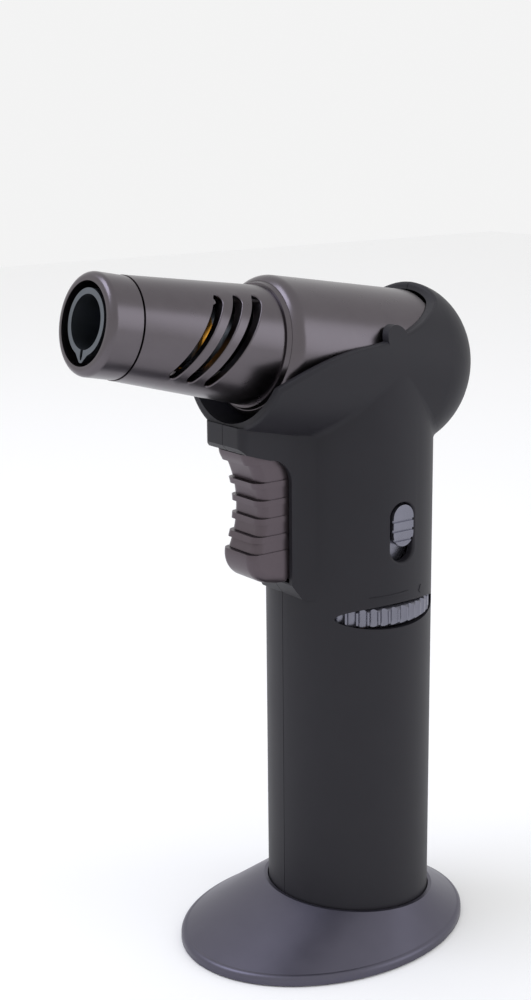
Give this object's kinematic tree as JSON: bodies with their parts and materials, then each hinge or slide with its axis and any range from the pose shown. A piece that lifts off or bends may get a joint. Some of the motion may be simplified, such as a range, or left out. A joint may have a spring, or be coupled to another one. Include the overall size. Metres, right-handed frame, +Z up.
{
  "type": "butane torch",
  "caption": "Hand-held butane torch that stands on an oval foot: round black grip, ribbed trigger, lock slide, flame wheel and a tilted gunmetal nozzle with slanted vents.",
  "frame": {"origin": "on the grip's axis, at the underside of the foot, on the surface that the torch stands on", "axes": "+Z up along the grip, -X the way the nozzle points, -Y the side with the lock slide and the flame wheel"},
  "size_m": [0.1038, 0.0604, 0.1674],
  "materials": {
    "soft_black": "soft-touch matt coating on moulded ABS",
    "dark_chrome": "dark gunmetal plating, polished",
    "satin_gunmetal": "satin gunmetal coating on a die casting",
    "gunmetal_plastic": "metallised gunmetal plastic, semi-gloss",
    "burner_steel": "drawn stainless tube",
    "steel": "zinc-plated steel",
    "brass": "turned brass",
    "ceramic": "glazed white ceramic",
    "tank_plastic": "translucent moulded nylon",
    "rubber": "matt moulded rubber",
    "black_plastic": "moulded black nylon",
    "white_plastic": "moulded acetal",
    "clear_hose": "soft translucent tube",
    "wire_red": "silicone insulation"
  },
  "bodies": {
    "case": {"body_shell_left": "soft_black", "body_shell_right": "soft_black", "case_screws": "steel", "collar": "dark_chrome", "barrel": "dark_chrome", "nozzle_tip": "dark_chrome", "burner_tube": "burner_steel", "burner_nut": "brass", "flame_grid": "burner_steel", "mixer_tube": "burner_steel", "jet_holder": "brass", "jet": "brass", "nozzle_bracket": "black_plastic", "electrode_insulator": "ceramic", "electrode": "steel", "gas_tank": "tank_plastic", "tank_lid": "tank_plastic", "valve_body": "brass", "valve_seal": "rubber", "fill_valve": "brass", "fill_seal": "rubber", "foot": "satin_gunmetal", "foot_pad": "rubber", "foot_screws": "steel", "piezo_body": "black_plastic", "lever_pin": "steel", "igniter_carrier": "black_plastic", "gas_hose": "clear_hose", "ignition_wire": "wire_red"},
    "trigger": {"trigger": "gunmetal_plastic", "piezo_plunger": "white_plastic"},
    "gas_lever": {"gas_lever": "steel"},
    "valve_stem": {"valve_stem": "brass"},
    "lock_slide": {"lock_slide": "gunmetal_plastic"},
    "adjuster": {"adjuster_wheel": "gunmetal_plastic", "adjuster_sleeve": "brass"},
    "fill_stem": {"fill_stem": "brass"}
  },
  "joints": [
    {"name": "trigger_pull", "type": "slide", "parent": "case", "child": "trigger", "axis": [1, 0, 0], "range_m": [0, 0.006], "stiffness_N_per_m": 1500, "springref_m": -0.001},
    {"name": "gas_lever_turn", "type": "hinge", "parent": "case", "child": "gas_lever", "pos_m": [0.004, -0.003, 0.097], "axis": [0, 1, 0], "range_deg": [0, 28.5]},
    {"name": "valve_stem_lift", "type": "slide", "parent": "case", "child": "valve_stem", "axis": [0, 0, 1], "range_m": [0, 0.0026]},
    {"name": "lock_slide_travel", "type": "slide", "parent": "case", "child": "lock_slide", "axis": [0, 0, -1], "range_m": [0, 0.0034]},
    {"name": "flame_wheel_turn", "type": "hinge", "parent": "case", "child": "adjuster", "pos_m": [0, -0.003, 0.08425], "axis": [0, 0, 1], "range_deg": [-75, 75]},
    {"name": "fill_stem_push", "type": "slide", "parent": "case", "child": "fill_stem", "axis": [0, 0, 1], "range_m": [0, 0.0015], "stiffness_N_per_m": 800, "springref_m": -0.001}
  ],
  "couplings": [
    {"joint": "gas_lever_turn", "follows": "trigger_pull", "rad_per_m": 82.902},
    {"joint": "valve_stem_lift", "follows": "trigger_pull", "ratio": 0.4333}
  ]
}
